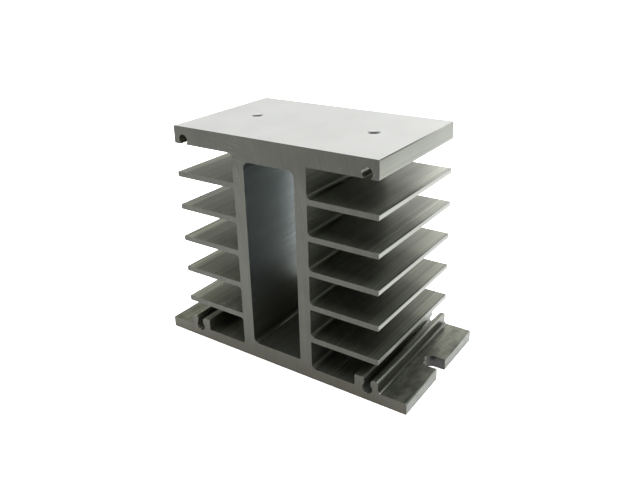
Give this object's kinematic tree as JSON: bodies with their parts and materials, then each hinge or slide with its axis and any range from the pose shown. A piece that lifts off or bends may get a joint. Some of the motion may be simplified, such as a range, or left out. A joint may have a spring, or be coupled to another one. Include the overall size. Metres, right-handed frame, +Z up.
{
  "type": "solid state relay heat sink",
  "caption": "One-piece aluminium extrusion that cools a panel-mounted relay: thick top plate, twin webs around a tall cavity, side fins, slotted base flanges.",
  "frame": {"origin": "middle of the underside of the base plate", "axes": "+X across the extrusion, +Y along the direction of extrusion, +Z up from the panel to the relay seat"},
  "size_m": [0.1, 0.05, 0.081],
  "materials": {
    "anodised_aluminium": "dark olive-grey anodised extrusion with a satin sheen and fine die lines along its length; end faces saw-cut and anodised"
  },
  "bodies": {
    "root": {"heat_sink": "anodised_aluminium"}
  },
  "joints": []
}
